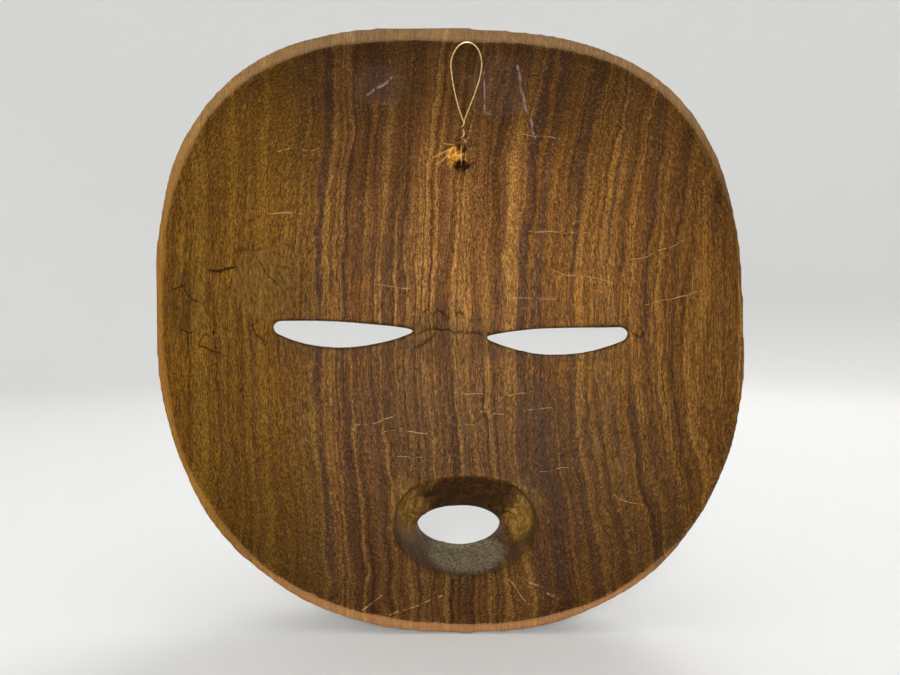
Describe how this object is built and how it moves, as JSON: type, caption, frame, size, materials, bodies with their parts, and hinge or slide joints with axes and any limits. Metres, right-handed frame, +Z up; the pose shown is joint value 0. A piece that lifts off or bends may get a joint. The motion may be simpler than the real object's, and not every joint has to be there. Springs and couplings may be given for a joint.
{
  "type": "carved wooden mask",
  "caption": "Upright carved wooden face mask, hollowed at the back, with eye slits, an open mouth and a thin brass wire loop for hanging it on a wall.",
  "frame": {"origin": "where the nail comes through the wire loop, on the plane of the wall", "axes": "+Z up the face, +Y from the carved face to the wall, +X to the right of someone who looks at the carved face"},
  "size_m": [0.1665, 0.0602, 0.1715],
  "materials": {
    "wood": "hand-carved, thin worn satin finish",
    "brass": "bright drawn wire"
  },
  "bodies": {
    "mask": {"mask_body": "wood"},
    "wire_loop": {"hanging_wire": "brass"}
  },
  "joints": [
    {"name": "loop_swing", "type": "hinge", "parent": "mask", "child": "wire_loop", "pos_m": [0, -0.02229, -0.02402], "axis": [-1, 0, 0], "range_deg": [0, 100]}
  ]
}
